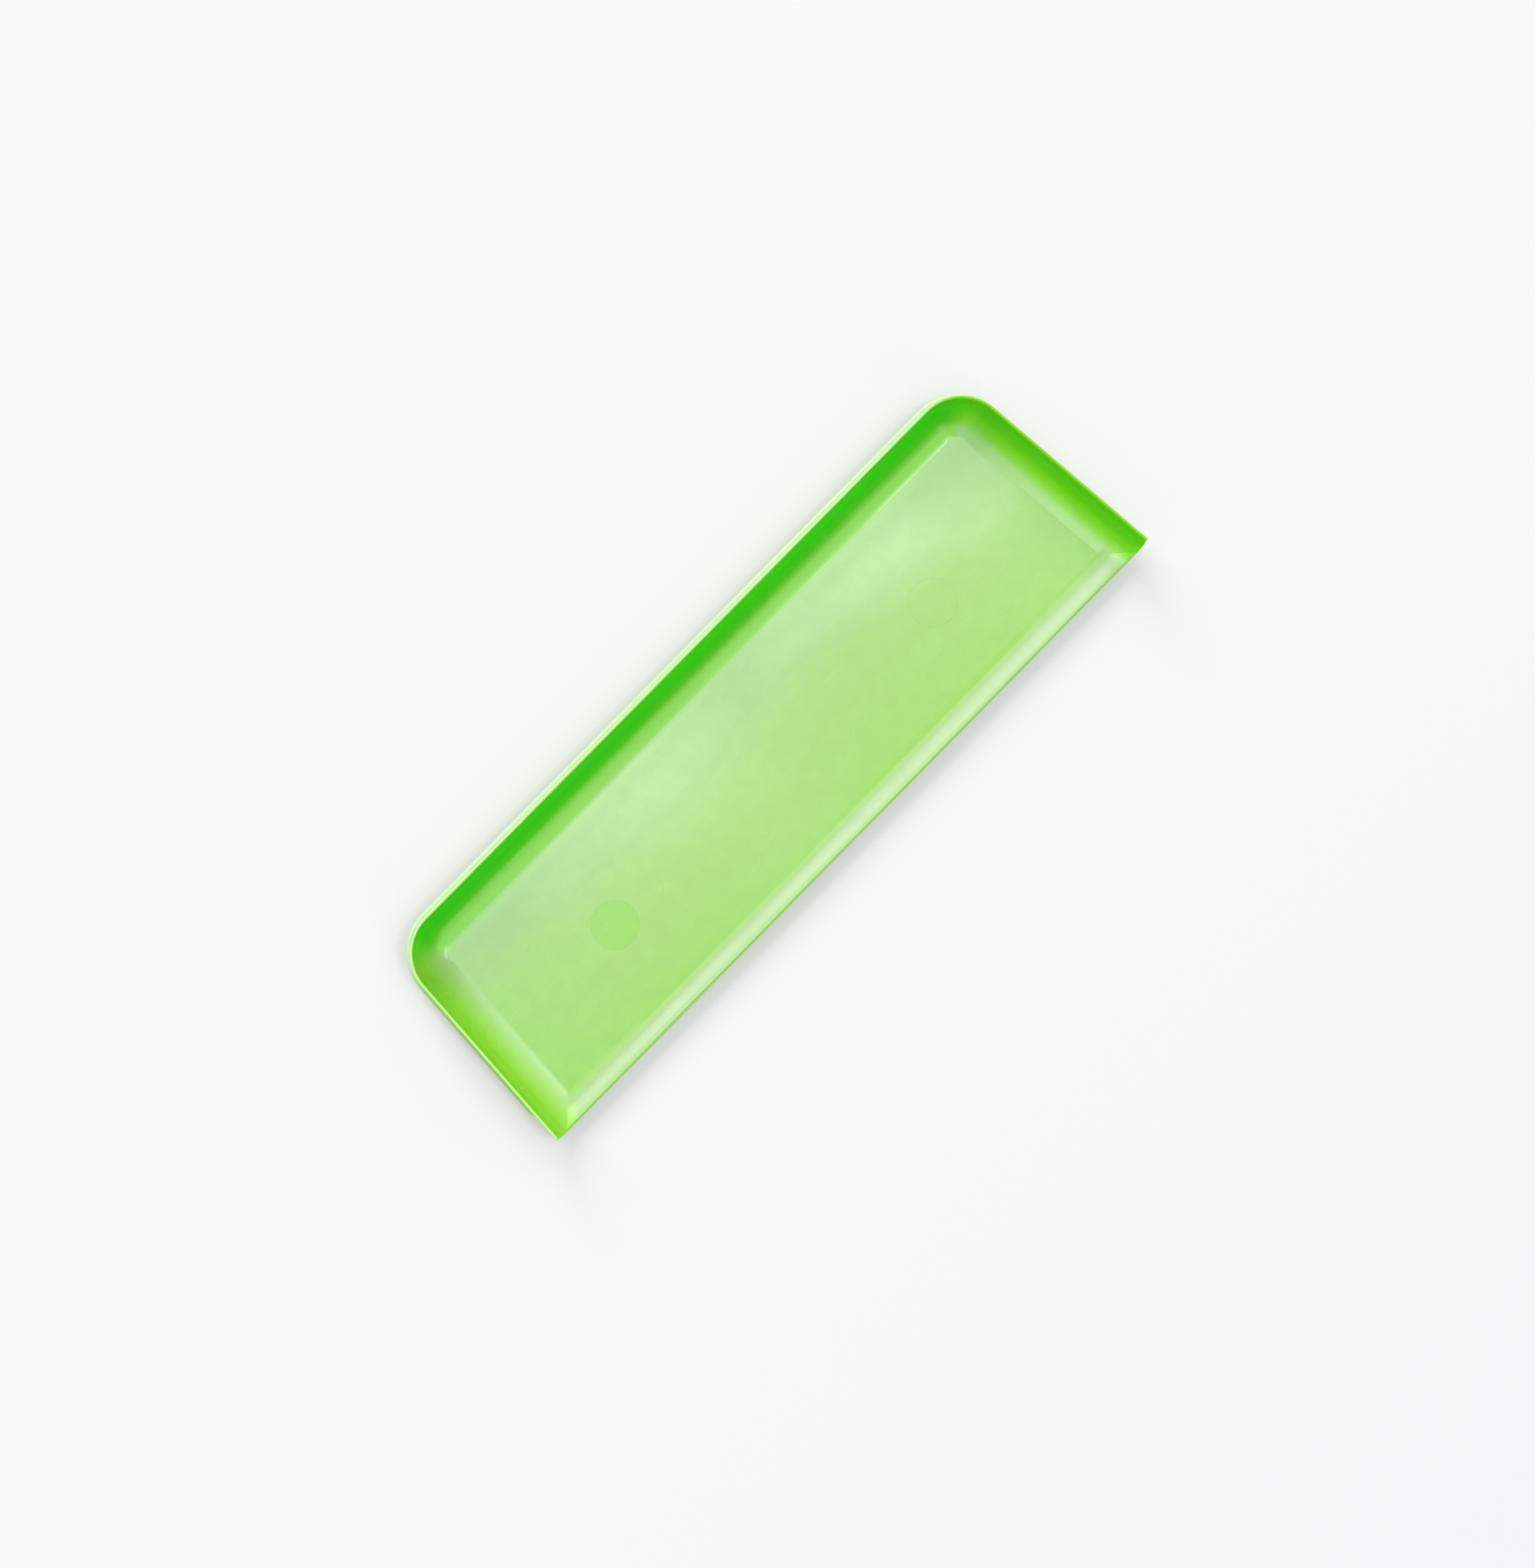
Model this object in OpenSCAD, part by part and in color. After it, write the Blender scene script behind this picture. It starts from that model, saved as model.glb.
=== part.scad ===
// Open-front scoop tray: long back wall, two flared end walls, upturned front lip,
// a bead around the outside of the walls and two flush round plugs in the floor.
// Millimetres. +X along the tray, +Y to the back wall, +Z up.
// Origin: centre of the overall box, at the underside of the floor.

/* [Overall] */
// overall width between the end walls at the front edge
front_width = 346; // [200:1:500]
// outside of the back wall to the front edge of the lip
depth = 104; // [70:1:200]
// underside of the floor to the top of the rim
height = 26; // [20:0.5:60]
// plan radius of the two back corners, on the outside of the wall
corner_r = 21; // [19:0.5:40]

/* [Shell] */
// thickness of the floor and of the lip
floor_t = 1.6; // [1.2:0.1:3]
// thickness of the walls
wall_t = 1.2; // [0.9:0.1:3]
// inside radius between the floor and the walls, and of the lip
fillet_r = 14.5; // [6:0.5:17]
// angle that the lip turns up through
lip_angle = 47; // [20:1:70]
// how far the front edges of the end walls lean back
front_lean = 5.5; // [0:0.5:15]

/* [Outside bead] */
// how far the bead stands out from the wall
bead_out = 2; // [0.8:0.1:4]
// height of the bead
bead_h = 2.4; // [1:0.1:5]
// underside of the floor to the middle of the bead
bead_z = 11; // [6:0.5:22]
// front edge of the lip to the start of the bead
bead_start = 12; // [5:1:40]
// plan radius of the run-out at each end of the bead
bead_end_r = 5; // [2:0.5:12]

/* [Plugs] */
// distance between the two plugs
plug_pitch = 188; // [60:1:240]
// front edge of the lip to the middle of the plugs
plug_from_front = 46; // [30:1:80]
// diameter of a plug's head
plug_d = 20.4; // [8:0.2:30]
// thickness of a plug's head
plug_head_t = 0.8; // [0.4:0.1:1.4]
// diameter of a plug's spigot
spigot_d = 12; // [4:0.5:20]
// clearance all round a plug in its seat
seat_gap = 0.04; // [0.02:0.02:0.3]

/* [Hidden] */
$fn = 96;
function round2(x) = round(x * 100) / 100;
y_front = -(depth + bead_out) / 2;
y_back = y_front + depth;
// splay of each end wall, 1 in 13: an angle whose sine and cosine (0.99712) are exact decimals, so
// that the segments below meet with no rounding between them
flare = asin(0.07584);
rim_r = wall_t / 2;
inner_w = corner_r - wall_t;
outer_r = fillet_r + (floor_t + wall_t) / 2;
// outer edge of the lip, along the end line of its section
off = (floor_t - wall_t) / 2;
off_d = off * (sin(lip_angle) - cos(lip_angle));
edge_t = sqrt(off_d * off_d - 2 * off * off + outer_r * outer_r) - off_d;
edge_z = floor_t + fillet_r - edge_t * cos(lip_angle);
lip_y = round2(y_front + inner_w - fillet_r + edge_t * sin(lip_angle));
// corner centre: corner_r inside both the back line and the flared side line; the side runs from
// it to the mitre between the lip and the end wall
side_n = front_width / 2 * cos(flare) + y_front * sin(flare);
side_len = round2((y_back - corner_r - lip_y) / cos(flare));
mitre_x = round2((side_n - corner_r - lip_y * sin(flare)) / cos(flare));
corner_x = mitre_x - side_len * sin(flare);
corner_y = lip_y + side_len * cos(flare);
// bead
bead_nose = bead_h / 2;
bead_lo = min(bead_z - bead_nose, outer_r);
bead_hi = min(bead_z + bead_nose, fillet_r + floor_t);
wall_out = corner_r - outer_r + sqrt(outer_r * outer_r - pow(outer_r - bead_lo, 2));
wall_in = inner_w - fillet_r + sqrt(fillet_r * fillet_r - pow(floor_t + fillet_r - bead_hi, 2));
bead_root = wall_in + 0.3 * (wall_out - wall_in);
bead_c = corner_r + bead_out - bead_end_r;
bead_end_y = round2((y_front + bead_start + bead_end_r - lip_y - bead_c * sin(flare)) / cos(flare));
plug_y = y_front + plug_from_front;

// Section of the wall, r outwards from a corner's centre, z up
module wall_section() {
    difference() {
        square([corner_r, height - rim_r]);
        difference() {
            translate([corner_r - outer_r, -1]) square([outer_r + 1, outer_r + 1]);
            translate([corner_r - outer_r, outer_r]) circle(r = outer_r);
        }
        difference() {
            translate([-1, floor_t]) square([inner_w + 1, height]);
            difference() {
                translate([inner_w - fillet_r, floor_t - 1]) square([fillet_r + 1, fillet_r + 1]);
                translate([inner_w - fillet_r, floor_t + fillet_r]) circle(r = fillet_r);
            }
        }
    }
    translate([corner_r - rim_r, height - rim_r]) circle(r = rim_r);
}

module lip_section() {
    intersection() {
        wall_section();
        translate([inner_w - fillet_r, floor_t + fillet_r])
            polygon([[0, 0], [-60, 0], [-60, -60], [60 * tan(lip_angle), -60]]);
    }
}

module bead_section() {
    nose_x = corner_r + bead_out - bead_nose;
    translate([bead_root, bead_z - bead_nose]) square([nose_x - bead_root, bead_h]);
    translate([nose_x, bead_z]) circle(r = bead_nose);
}

// Frames. The mitre between the lip and an end wall is the plane x = 0 of mitre_frame, the end wall
// is drawn mirrored in it, and each later frame starts where the piece before it ends.
module mitre_frame() {
    translate([mitre_x, lip_y, 0]) rotate([0, 0, flare / 2 - 135]) children();
}

module side_frame() {
    mitre_frame() mirror([1, 0, 0]) rotate([0, 0, 45 - flare / 2]) children();
}

module corner_frame() {
    side_frame() translate([0, -side_len, 0]) rotate([0, 0, flare - 90]) children();
}

module right_half() {
    intersection() {
        children();
        translate([0, -2 * depth, -height]) cube([2 * front_width, 4 * depth, 4 * height]);
    }
}

// One arm of the mitre, towards -Y of a frame turned to put r along +X
module mitred(run) {
    intersection() {
        rotate([0, 0, 45 - flare / 2]) rotate([90, 0, 0]) translate([0, 0, -40])
            linear_extrude(height = run + 40) children();
        translate([0, -2 * front_width, -height])
            cube([2 * front_width, 4 * front_width, 4 * height]);
    }
}

module lip() {
    right_half() mitre_frame() mitred(mitre_x + 20) lip_section();
}

module side_wall() {
    mitre_frame() mirror([1, 0, 0]) mitred(side_len) wall_section();
}

module side_bead() {
    side_frame() translate([0, -bead_end_y, 0]) rotate([90, 0, 0])
        linear_extrude(height = side_len - bead_end_y) bead_section();
}

// Run-out at the front end of the bead, in plan a quarter turn back into the wall
module bead_end() {
    side_frame() intersection() {
        translate([bead_c, -bead_end_y, bead_z]) rotate_extrude(angle = 90) {
            translate([0, -bead_nose]) square([bead_end_r - bead_nose, bead_h]);
            translate([bead_end_r - bead_nose, 0]) circle(r = bead_nose);
        }
        translate([bead_root, -2 * depth, 0]) cube([30, 3 * depth, height]);
    }
}

// A full turn of the section, cut by the planes where the side and the back begin
module quarter() {
    intersection() {
        side_frame() translate([0, -side_len, 0]) rotate_extrude() children();
        side_frame() translate([0, -side_len - 200, -50]) cube([200, 200, 200]);
        corner_frame() translate([0, 0, -50]) cube([200, 200, 200]);
    }
}

module corner() {
    quarter() wall_section();
    quarter() bead_section();
}

module back_wall() {
    right_half() corner_frame() rotate([90, 0, 0]) linear_extrude(height = corner_x + 20)
        wall_section();
    right_half() corner_frame() rotate([90, 0, 0]) linear_extrude(height = corner_x + 20)
        bead_section();
}

module floor_plate() {
    linear_extrude(height = floor_t)
        polygon([
            [corner_x, corner_y], [-corner_x, corner_y], [-mitre_x, lip_y], [mitre_x, lip_y]
        ]);
}

// Everything ahead of the leaning front edges of the end walls
module ahead_of_walls() {
    k = tan(front_lean);
    translate([-front_width, 0, 0]) rotate([90, 0, 90]) linear_extrude(height = 2 * front_width)
        polygon([
            [y_front - 60, edge_z - 30], [y_front - 30 * k, edge_z - 30],
            [y_front + (height + 5 - edge_z) * k, height + 5], [y_front - 60, height + 5]
        ]);
}

module plug_seat(x) {
    translate([x, plug_y, floor_t - plug_head_t]) cylinder(h = floor_t, d = plug_d + 2 * seat_gap);
    translate([x, plug_y, -1]) cylinder(h = floor_t + 1, d = spigot_d + 2 * seat_gap);
}

module end_wall() {
    difference() {
        union() {
            side_wall();
            side_bead();
            bead_end();
        }
        ahead_of_walls();
    }
}

module pierced_floor() {
    difference() {
        floor_plate();
        plug_seat(-plug_pitch / 2);
        plug_seat(plug_pitch / 2);
    }
}

module half_shell() {
    lip();
    end_wall();
    union() corner();
    union() back_wall();
}

module tray_shell() {
    color([0.36, 0.78, 0.1])
    union() {
        pierced_floor();
        half_shell();
        mirror([1, 0, 0]) half_shell();
    }
}

module plug(x) {
    translate([x, plug_y, floor_t - plug_head_t]) cylinder(h = plug_head_t, d = plug_d);
    translate([x, plug_y, 0.2]) cylinder(h = floor_t - plug_head_t, d = spigot_d);
}

module plug_left() {
    color([0.42, 0.8, 0.2]) plug(-plug_pitch / 2);
}

module plug_right() {
    color([0.42, 0.8, 0.2]) plug(plug_pitch / 2);
}

tray_shell();
plug_left();
plug_right();
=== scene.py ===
"""Looks, stage, lights and camera of the open-front scoop tray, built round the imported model.

Metres and radians unless a name says otherwise. +X along the tray, +Y to the back wall, +Z up.
"""
import math
from types import SimpleNamespace

import bpy
from mathutils import Euler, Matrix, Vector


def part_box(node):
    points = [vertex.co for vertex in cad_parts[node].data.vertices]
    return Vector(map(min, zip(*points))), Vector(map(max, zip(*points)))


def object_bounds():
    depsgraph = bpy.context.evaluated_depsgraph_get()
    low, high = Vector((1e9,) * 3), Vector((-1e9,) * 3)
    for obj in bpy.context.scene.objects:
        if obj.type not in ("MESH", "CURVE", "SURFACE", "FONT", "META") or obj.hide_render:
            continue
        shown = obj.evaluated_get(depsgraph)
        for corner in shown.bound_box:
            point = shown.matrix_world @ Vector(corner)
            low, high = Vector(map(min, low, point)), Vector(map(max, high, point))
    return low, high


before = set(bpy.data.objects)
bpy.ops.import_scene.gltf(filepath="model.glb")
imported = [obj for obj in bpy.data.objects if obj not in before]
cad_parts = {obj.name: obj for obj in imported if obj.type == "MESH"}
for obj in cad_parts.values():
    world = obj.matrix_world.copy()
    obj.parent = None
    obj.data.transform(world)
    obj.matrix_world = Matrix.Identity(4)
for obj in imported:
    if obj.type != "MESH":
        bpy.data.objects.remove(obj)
CAD_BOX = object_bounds()

# ---------------------------------------------------------------- measures of the tray

HIGH = CAD_BOX[1]
RIM_Z = HIGH[2]
FLOOR_T = 0.0016
WALL_T = 0.0012
FILLET_R = 0.0145
CORNER_R = 0.021
# how far the bead stands out from the walls, and the height of its middle
BEAD_OUT = 0.002
BEAD_Z = 0.011
# outside of the back wall, and where the plan corners begin
BACK_Y = HIGH[1] - BEAD_OUT
CORNER_Y = BACK_Y - CORNER_R
# outside of the end walls at y = 0, and how much further in they are per metre towards the back
SIDE_X = 0.1689
FLARE = 0.076
# where the lip begins to rise, and the distance over which its colors come in
LIP_Y = -0.0410
LIP_BLEND = 0.0008
# the back wall's fillet is painted from this much in front of its foot
SOFT_START = 0.001
SIDE_FOOT_X = SIDE_X - WALL_T - FILLET_R
BACK_FOOT_Y = BACK_Y - WALL_T - FILLET_R - SOFT_START
# middle of the right plug; the left one mirrors it
PLUG_LOW, PLUG_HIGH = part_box("plug_right")
PLUG = (PLUG_LOW + PLUG_HIGH) / 2
# the floor's color changes over this distance each way from the middle, and the clouding moves it
FLOOR_FADE = 0.045
CLOUD_SHIFT = 0.010

BLACK = (0.0, 0.0, 0.0)
WHITE = (1.0, 1.0, 1.0)


class Nodes:
    """Short calls for building a node tree."""

    def __init__(self, tree):
        self.tree = tree

    def new(self, kind, **settings):
        node = self.tree.nodes.new(kind)
        for name, value in settings.items():
            setattr(node, name, value)
        return node

    def put(self, socket, value):
        """Links an output to the socket, or sets the socket's value."""
        if isinstance(value, bpy.types.NodeSocket):
            self.tree.links.new(value, socket)
        else:
            socket.default_value = value

    def put_color(self, socket, value):
        self.put(socket, value if isinstance(value, bpy.types.NodeSocket) else (*value, 1))

    def math(self, operation, a, b=0.0, clamp=False):
        node = self.new("ShaderNodeMath", operation=operation, use_clamp=clamp)
        self.put(node.inputs[0], a)
        self.put(node.inputs[1], b)
        return node.outputs[0]

    def plus(self, a, b):
        return self.math("ADD", a, b)

    def minus(self, a, b):
        return self.math("SUBTRACT", a, b)

    def times(self, a, b):
        return self.math("MULTIPLY", a, b)

    def larger(self, a, b):
        return self.math("MAXIMUM", a, b)

    def absolute(self, a):
        return self.math("ABSOLUTE", a)

    def split(self, vector):
        node = self.new("ShaderNodeSeparateXYZ")
        self.put(node.inputs[0], vector)
        return node.outputs

    def span(self, value, lo, hi, to_lo=0.0, to_hi=1.0, smooth=True):
        """Takes lo..hi to to_lo..to_hi, and holds the value at both ends."""
        node = self.new("ShaderNodeMapRange", clamp=True)
        node.interpolation_type = "SMOOTHSTEP" if smooth else "LINEAR"
        for i, x in enumerate((value, lo, hi, to_lo, to_hi)):
            self.put(node.inputs[i], x)
        return node.outputs[0]

    def noise(self, coords, scale, detail=3.0, rough=0.5, distortion=0.0):
        node = self.new("ShaderNodeTexNoise")
        self.put(node.inputs["Vector"], coords)
        node.inputs["Scale"].default_value = scale
        node.inputs["Detail"].default_value = detail
        node.inputs["Roughness"].default_value = rough
        node.inputs["Distortion"].default_value = distortion
        return node.outputs["Fac"]

    def stretch(self, coords, scale, turn=0.0):
        node = self.new("ShaderNodeMapping")
        self.put(node.inputs["Vector"], coords)
        node.inputs["Scale"].default_value = scale
        node.inputs["Rotation"].default_value = (0, 0, turn)
        return node.outputs[0]

    def mix(self, share, a, b):
        """Color a, with a share of color b."""
        node = self.new("ShaderNodeMix", data_type="RGBA", blend_type="MIX")
        self.put(node.inputs[0], share)
        self.put_color(node.inputs[6], a)
        self.put_color(node.inputs[7], b)
        return node.outputs[2]

    def ramp(self, value, stops):
        node = self.new("ShaderNodeValToRGB")
        elements = node.color_ramp.elements
        while len(elements) < len(stops):
            elements.new(0.5)
        for element, (position, color) in zip(elements, stops):
            element.position = position
            element.color = (*color, 1)
        self.put(node.inputs[0], value)
        return node.outputs[0]


# ---------------------------------------------------------------- colors of the plastic, with light and shade painted in

# from the front of the floor to its back, paler towards the back: painted light for the light that
# comes through the back wall
FLOOR = [
    (0.0, (0.270, 0.515, 0.112)),
    (0.20, (0.293, 0.531, 0.144)),
    (0.31, (0.302, 0.535, 0.153)),
    (0.46, (0.328, 0.572, 0.180)),
    (0.61, (0.393, 0.630, 0.255)),
    (0.77, (0.515, 0.770, 0.368)),
    (1.0, (0.650, 0.910, 0.455)),
]
# from the foot of a fillet to its top, where the wall goes straight up; lit and shaded copies of one
# green: painted shade on the back and right walls, which face away from the lamps, and painted light
# on the left wall
BACK_WALL = [
    (0.0, (0.320, 0.720, 0.130)),
    (0.06, (0.300, 0.710, 0.105)),
    (0.11, (0.165, 0.600, 0.036)),
    (0.18, (0.080, 0.540, 0.002)),
    (0.28, (0.042, 0.555, 0.0)),
    (0.42, (0.030, 0.600, 0.0)),
    (1.0, (0.052, 0.800, 0.0)),
]
# lighter green just under the rim, over the back wall's painted shade
BACK_WALL_TOP = (0.180, 0.820, 0.0)
RIGHT_WALL_SHADED = [
    (0.0, (0.390, 0.630, 0.250)),
    (0.04, (0.420, 0.690, 0.265)),
    (0.11, (0.300, 0.710, 0.095)),
    (0.23, (0.220, 0.710, 0.015)),
    (0.44, (0.150, 0.770, 0.002)),
    (1.0, (0.115, 0.810, 0.0)),
]
LEFT_WALL_LIT = [
    (0.0, (0.355, 0.580, 0.222)),
    (0.04, (0.345, 0.600, 0.190)),
    (0.11, (0.320, 0.600, 0.120)),
    (0.23, (0.280, 0.610, 0.066)),
    (0.44, (0.257, 0.630, 0.030)),
    (1.0, (0.290, 0.770, 0.028)),
]
# the lip, pale in painted light where it tilts up towards the lamps
LIP = [
    (0.0, (0.290, 0.530, 0.135)),
    (0.017, (0.330, 0.530, 0.195)),
    (0.09, (0.325, 0.468, 0.240)),
    (0.27, (0.350, 0.520, 0.230)),
]
# from what lies flat to what stands upright: paler where lit from above and on the back, which faces
# the lamps, all painted light and shade
OUTER_SIDE = [(0.0, (0.42, 0.64, 0.28)), (0.25, (0.33, 0.60, 0.15)), (1.0, (0.20, 0.60, 0.05))]
OUTER_BACK_LIT = [(0.0, (0.58, 0.75, 0.48)), (0.4, (0.50, 0.70, 0.33)), (1.0, (0.32, 0.63, 0.16))]
# the rim's edge, a painted highlight: pale on the left and back, darker on the right in painted shade
RIM_LEFT = (0.42, 0.76, 0.18)
RIM_BACK = (0.44, 0.70, 0.28)
RIM_RIGHT_SHADED = (0.20, 0.54, 0.0)
DEEPER = (0.20, 0.54, 0.03)
# what comes through the plastic
THROUGH_FLAT = (0.45, 0.75, 0.20)
THROUGH_UPRIGHT = (0.04, 0.70, 0.0)
THROUGH_SHARE = 0.06


# ---------------------------------------------------------------- plastic


def place_on_tray(n):
    """Where a point of the tray lies and how it faces, as sockets that the colors are made from."""
    coords = n.new("ShaderNodeTexCoord")
    at = SimpleNamespace(pos=coords.outputs["Object"])
    at.x, at.y, at.z = n.split(at.pos)
    at.nx, at.ny, nz = n.split(coords.outputs["Normal"])
    at.half_x = n.absolute(at.x)
    # 0 on what lies flat, 1 on what stands upright
    at.slope = n.minus(1.0, n.absolute(nz))
    # how far past the feet of the end walls' and the back wall's fillets, and how far up a fillet
    at.past_side = n.minus(at.half_x, n.minus(SIDE_FOOT_X, n.times(at.y, FLARE)))
    at.past_back = n.minus(at.y, BACK_FOOT_Y)
    at.up = n.span(at.z, FLOOR_T, FLOOR_T + FILLET_R, smooth=False)
    at.on_lip = n.span(at.y, LIP_Y, LIP_Y - LIP_BLEND)
    at.by_back = n.span(at.y, CORNER_Y, CORNER_Y + 0.015)
    return at


def floor_color(n, at):
    """Paler towards the back, painted light for the light that comes through the back wall, with a
    soft clouding of the melt.
    """
    cloud = n.noise(n.stretch(at.pos, (1, 1.4, 1), 0.6), 10, 0.6, 0.4, 0.4)
    clouded_y = n.plus(at.y, n.span(cloud, 0.3, 0.7, -CLOUD_SHIFT, CLOUD_SHIFT, smooth=False))
    return n.ramp(n.span(clouded_y, -FLOOR_FADE, FLOOR_FADE, smooth=False), FLOOR)


def wall_color(n, at):
    """The inside of the walls and the lip, each from the foot of its fillet up, with light and shade
    painted in by which way each faces.
    """
    # past the mitre the end wall's fillet runs on over the lip, to the front edge
    out = n.span(at.past_side, 0.0, FILLET_R, smooth=False)
    quarter_round = n.math("SQRT", n.math("SUBTRACT", 1.0, n.times(out, out), clamp=True))
    run_on = n.minus(1.0, quarter_round)
    up_side = n.plus(n.times(at.up, n.minus(1.0, at.on_lip)), n.times(run_on, at.on_lip))

    back = n.ramp(at.up, BACK_WALL)
    back = n.mix(n.span(at.z, RIM_Z - 0.0025, RIM_Z - 0.0003), back, BACK_WALL_TOP)
    right = n.ramp(up_side, RIGHT_WALL_SHADED)
    left = n.ramp(up_side, LEFT_WALL_LIT)
    # the left wall in painted light, the right one in painted shade
    side = n.mix(n.span(at.x, -0.01, 0.01), left, right)

    # round a corner: -1 on the back wall, 1 on the end wall
    both = n.plus(n.absolute(at.past_side), n.plus(n.absolute(at.past_back), 0.0001))
    turn = n.math("DIVIDE", n.minus(at.past_side, at.past_back), both)
    wall = n.mix(n.span(turn, -0.75, 0.75), back, side)
    lip_share = n.times(at.on_lip, n.span(at.past_side, 0.006, 0.0))
    return n.mix(lip_share, wall, n.ramp(at.up, LIP))


def outer_color(n, at):
    """The outside of the walls and the bead, paler along the back in painted light."""
    lit_back_share = n.times(at.by_back, n.span(at.z, BEAD_Z - 0.002, BEAD_Z + 0.001))
    return n.mix(lit_back_share, n.ramp(at.slope, OUTER_SIDE), n.ramp(at.slope, OUTER_BACK_LIT))


def outer_share(n, at):
    """1 on the outside: by place beyond the walls, which takes in the bead's ledge, and by facing."""
    wall_outside = WALL_T + FILLET_R
    past_walls = n.larger(
        n.span(at.y, BACK_Y - 0.0007, BACK_Y - 0.0003),
        n.span(at.past_side, wall_outside - 0.0002, wall_outside + 0.0002),
    )
    outward = n.plus(n.times(at.nx, at.x), n.times(at.ny, n.plus(at.y, 0.005)))
    outside = n.larger(past_walls, n.span(outward, 0.002, 0.006))
    return n.times(outside, n.span(at.z, 0.0006, 0.0012))


def plastic_color(n, at, deeper):
    floor = floor_color(n, at)
    back_rise = n.times(n.span(at.past_back, 0.0, 0.0028), n.span(at.z, 0.0008, 0.0012))
    rising = n.larger(n.span(at.z, FLOOR_T, FLOOR_T + 0.0001), back_rise)
    color = n.mix(rising, floor, wall_color(n, at))
    color = n.mix(outer_share(n, at), color, outer_color(n, at))

    # the rim's edge gets a painted highlight, darker on the right in painted shade
    rim = n.mix(at.by_back, RIM_LEFT, RIM_BACK)
    rim = n.mix(n.span(at.x, 0.145, 0.160), rim, RIM_RIGHT_SHADED)
    rim_share = n.times(n.span(at.z, RIM_Z - 0.0010, RIM_Z - 0.0004), n.span(at.slope, 0.7, 0.3))
    color = n.mix(rim_share, color, rim)

    # just above the floor the floor's color goes on, from the plugs to the front: painted light over
    # the shade in the plugs' seams
    past_x = n.span(at.half_x, PLUG.x + 0.026, PLUG.x + 0.016)
    past_y = n.span(at.y, PLUG.y + 0.027, PLUG.y + 0.022)
    seam_light_share = n.times(n.span(at.z, FLOOR_T + 0.0003, FLOOR_T + 0.0001), n.times(past_x, past_y))
    color = n.mix(seam_light_share, color, floor)

    color = n.mix(deeper, color, DEEPER)
    mottle = n.noise(at.pos, 160, 3, 0.6)
    return n.mix(n.span(mottle, 0.35, 0.65, 0.0, 0.03), color, BLACK)


def fine_relief(n, at):
    """Hair scratches in two directions, moulding grain and a slow waviness, as a bump."""
    along = n.noise(n.stretch(at.pos, (60, 2600, 60), 0.35), 1.0, 2, 0.5, 0.2)
    across = n.noise(n.stretch(at.pos, (2400, 50, 60), 0.9), 1.0, 2, 0.5, 0.2)
    height = n.plus(n.span(along, 0.66, 0.80, 0.0, -0.5), n.span(across, 0.68, 0.82, 0.0, -0.5))
    height = n.plus(height, n.times(n.noise(at.pos, 2600, 2, 0.5), 0.35))
    height = n.plus(height, n.noise(at.pos, 45, 2, 0.5))
    bump = n.new("ShaderNodeBump")
    bump.inputs["Strength"].default_value = 0.12
    bump.inputs["Distance"].default_value = 0.00006
    n.put(bump.inputs["Height"], height)
    return bump.outputs[0]


def moulded(name, deeper):
    """Glossy moulded plastic that lets some light through: pale where it lies flat on the table,
    saturated on walls and fillets, both painted light and shade. deeper is the share of a darker
    green."""
    material = bpy.data.materials.new(name)
    material.use_nodes = True
    material.node_tree.nodes.clear()
    n = Nodes(material.node_tree)
    at = place_on_tray(n)

    gloss = n.new("ShaderNodeBsdfPrincipled")
    n.put(gloss.inputs["Base Color"], plastic_color(n, at, deeper))
    rubbed = n.noise(n.stretch(at.pos, (1, 2.2, 1), 0.5), 30, 4, 0.6, 0.6)
    n.put(gloss.inputs["Roughness"], n.span(rubbed, 0.35, 0.75, 0.19, 0.32))
    gloss.inputs["IOR"].default_value = 1.45
    gloss.inputs["Specular IOR Level"].default_value = 0.25
    n.put(gloss.inputs["Normal"], fine_relief(n, at))

    through = n.new("ShaderNodeBsdfTranslucent")
    n.put(through.inputs["Color"], n.mix(n.span(at.slope, 0.0, 0.3), THROUGH_FLAT, THROUGH_UPRIGHT))

    both = n.new("ShaderNodeMixShader")
    both.inputs[0].default_value = THROUGH_SHARE
    n.put(both.inputs[1], gloss.outputs[0])
    n.put(both.inputs[2], through.outputs[0])
    n.put(n.new("ShaderNodeOutputMaterial").inputs["Surface"], both.outputs[0])
    return material


def dress(node, material):
    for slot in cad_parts[node].material_slots:
        slot.material = material


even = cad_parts["tray_shell"].modifiers.new("even_normals", "WEIGHTED_NORMAL")
even.keep_sharp = True
dress("tray_shell", moulded("tray_plastic", deeper=0.0))
dress("plug_left", moulded("plug_plastic_deeper", deeper=0.28))
dress("plug_right", moulded("plug_plastic", deeper=0.02))


# ---------------------------------------------------------------- table

TABLE_HALF = 12.0
# the table lies this far under the tray, so that their faces aren't in one plane
TABLE_DROP = 0.0002
# the table's color changes over this distance in front of the tray and behind it: painted shade,
# darker towards the front, and painted light, paler towards the back
TABLE_FADE = 0.45
TABLE = [(0.0, (0.474, 0.474, 0.484)), (0.5, (0.495, 0.495, 0.496)), (1.0, (0.508, 0.508, 0.508))]


def table_white():
    """Matt, with a little light of its own that stands in for the light of a whole room."""
    material = bpy.data.materials.new("table_white")
    material.use_nodes = True
    surface = material.node_tree.nodes["Principled BSDF"].inputs
    n = Nodes(material.node_tree)
    y = n.split(n.new("ShaderNodeTexCoord").outputs["Object"])[1]
    n.put(surface["Base Color"], n.ramp(n.span(y, -TABLE_FADE, TABLE_FADE, smooth=False), TABLE))
    surface["Roughness"].default_value = 0.9
    surface["Specular IOR Level"].default_value = 0.0
    surface["Emission Color"].default_value = (*WHITE, 1)
    surface["Emission Strength"].default_value = 0.20
    return material


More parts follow.
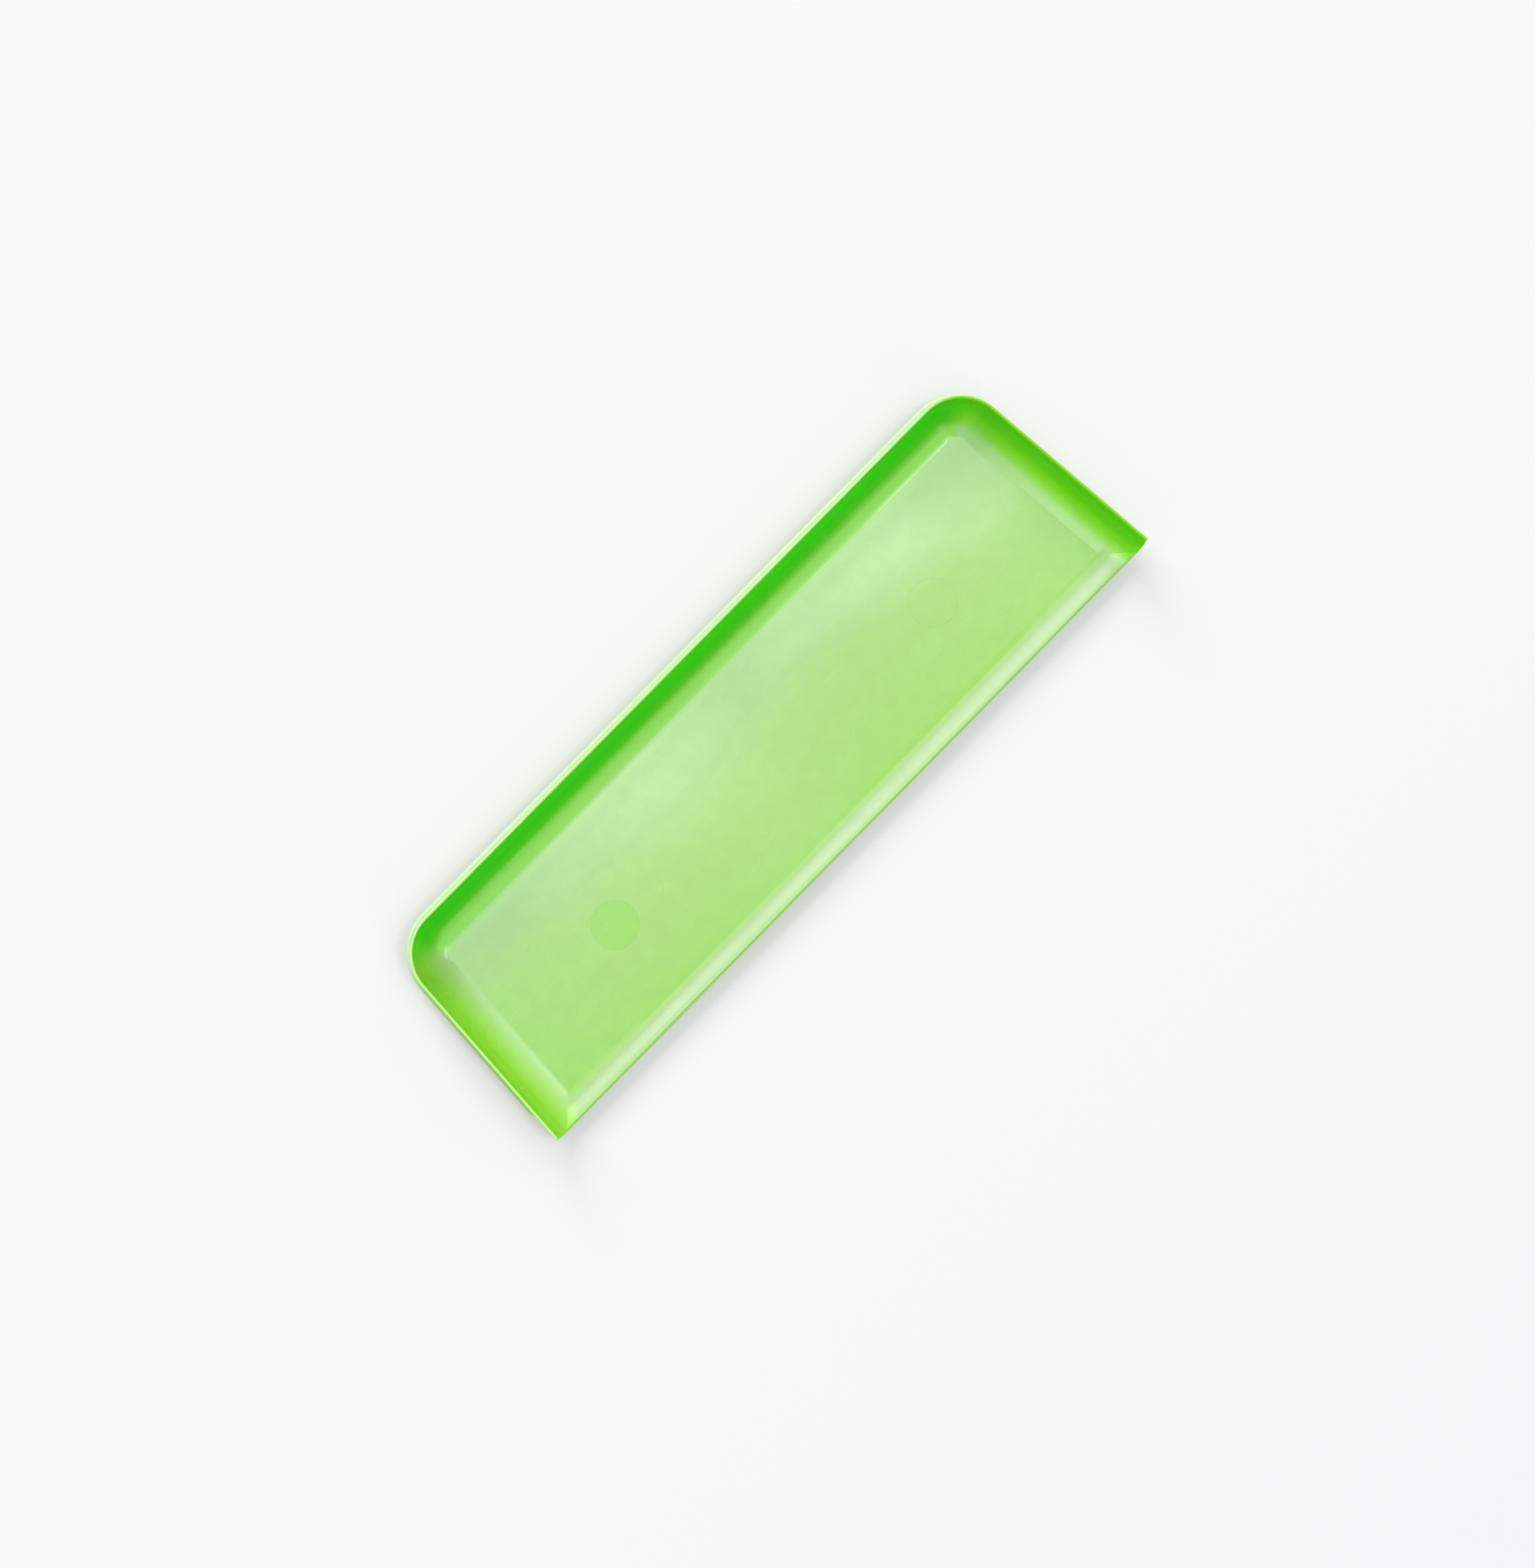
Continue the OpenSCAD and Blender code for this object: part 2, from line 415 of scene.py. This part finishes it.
corners = [(i * TABLE_HALF, j * TABLE_HALF, 0) for i, j in ((-1, -1), (1, -1), (1, 1), (-1, 1))]
table_mesh = bpy.data.meshes.new("table_top")
table_mesh.from_pydata(corners, [], [(0, 1, 2, 3)])
table_mesh.materials.append(table_white())
table = bpy.data.objects.new("table_top", table_mesh)
bpy.context.collection.objects.link(table)
table.location.z = -TABLE_DROP


# ---------------------------------------------------------------- light

world = bpy.data.worlds.new("studio")
bpy.context.scene.world = world
world.use_nodes = True
background = world.node_tree.nodes["Background"].inputs
background["Color"].default_value = (*WHITE, 1)
# brighter near the horizon, so that low views end on a pale background too
sky = Nodes(world.node_tree)
upward = sky.split(sky.new("ShaderNodeTexCoord").outputs["Generated"])[2]
sky.put(background["Strength"], sky.span(upward, 0.02, 0.22, to_lo=0.93, to_hi=0.585))


def soft_light(name, energy, width, azimuth, elevation):
    """A sun of this width. Its three angles are in degrees."""
    light = bpy.data.lights.new(name, "SUN")
    light.energy = energy
    light.angle = math.radians(width)
    lamp = bpy.data.objects.new(name, light)
    bpy.context.scene.collection.objects.link(lamp)
    lamp.rotation_euler = Euler((math.radians(90 - elevation), 0, math.radians(azimuth + 90)), "XYZ")


soft_light("window", energy=2.90, width=38, azimuth=80, elevation=32)
soft_light("overhead", energy=0.66, width=44, azimuth=-50, elevation=76)
soft_light("lamp", energy=0.60, width=8, azimuth=-45, elevation=76)
soft_light("front", energy=0.22, width=12, azimuth=-96, elevation=38)


# ---------------------------------------------------------------- camera

# almost straight above the tray, turned by an eighth of a turn
CAMERA_PLACE = (-0.0537, 0.0242, 1.6064)
CAMERA_TURN_DEGREES = (0.279, -2.042, -45.408)

camera_data = bpy.data.cameras.new("camera")
camera_data.lens = 88.8
camera_data.sensor_width = 36
camera_data.clip_start = 0.05
camera_data.clip_end = 50
camera = bpy.data.objects.new("camera", camera_data)
bpy.context.collection.objects.link(camera)
camera.location = CAMERA_PLACE
camera.rotation_euler = Euler([math.radians(angle) for angle in CAMERA_TURN_DEGREES], "XYZ")
bpy.context.scene.camera = camera

bpy.context.scene.view_settings.view_transform = "Standard"
